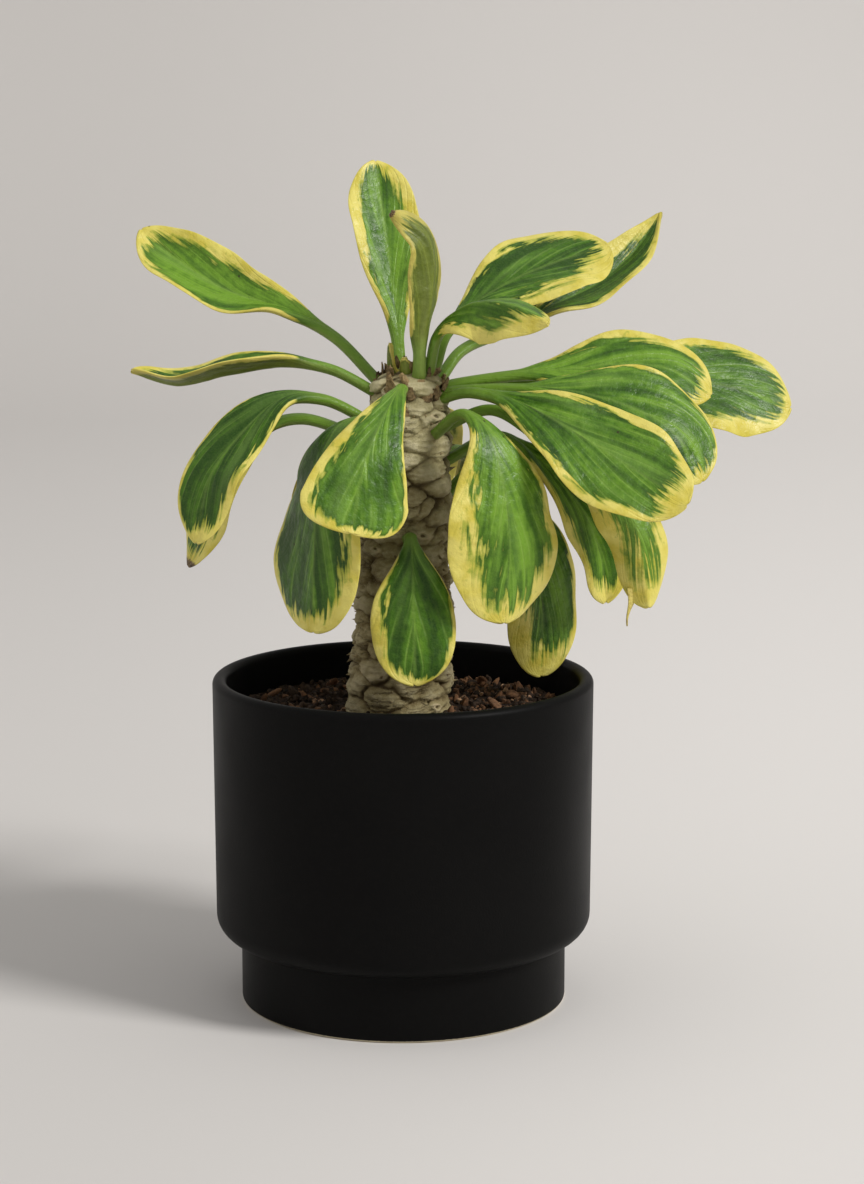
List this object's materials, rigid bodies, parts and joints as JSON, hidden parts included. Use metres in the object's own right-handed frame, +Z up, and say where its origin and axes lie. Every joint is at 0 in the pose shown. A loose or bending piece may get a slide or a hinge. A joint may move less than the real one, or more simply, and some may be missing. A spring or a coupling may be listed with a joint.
{
  "type": "potted euphorbia",
  "caption": "Thick-stemmed euphorbia with broad yellow-edged leaves, planted in a black footed ceramic pot.",
  "frame": {"origin": "centre of the pot's flat underside", "axes": "+Z up along the pot's axis, -Y towards the side with the low front leaf, +X towards the longest leaves"},
  "size_m": [0.2606, 0.1797, 0.3288],
  "materials": {
    "pot_glaze": "matte black glaze, bare clay on the underside",
    "soil": "dark, crumbly potting mix",
    "trunk": "grey-olive bark of knobs and round leaf scars",
    "leaf": "semi-gloss, green in the middle with yellow edges",
    "bud": "young green leaf",
    "bark": "reddish brown bark"
  },
  "bodies": {
    "root": {"pot": "pot_glaze", "soil": "soil", "trunk": "trunk", "leaf_top_back": "leaf", "leaf_top_front": "leaf", "leaf_left_high": "leaf", "leaf_left_arched": "leaf", "leaf_left_droop": "leaf", "leaf_left_behind": "leaf", "leaf_front_left": "leaf", "leaf_front_short": "leaf", "leaf_front_low": "leaf", "leaf_front_right": "leaf", "leaf_right_front": "leaf", "leaf_right_middle": "leaf", "leaf_right_back": "leaf", "leaf_right_far": "leaf", "leaf_back_right": "leaf", "leaf_back_pointed": "leaf", "leaf_flap": "leaf", "leaf_right_hanging": "leaf", "leaf_right_curled": "leaf", "leaf_right_low": "leaf", "leaf_rear_left": "leaf", "leaf_rear": "leaf", "leaf_rear_low": "leaf", "leaf_rear_right": "leaf", "crown_bud_1": "bud", "crown_bud_2": "bud", "crown_bud_3": "bud", "bark_chip_01": "bark", "bark_chip_02": "bark", "bark_chip_03": "bark", "bark_chip_04": "bark", "bark_chip_05": "bark", "bark_chip_06": "bark", "bark_chip_07": "bark", "bark_chip_08": "bark", "bark_chip_09": "bark", "bark_chip_10": "bark"}
  },
  "joints": []
}
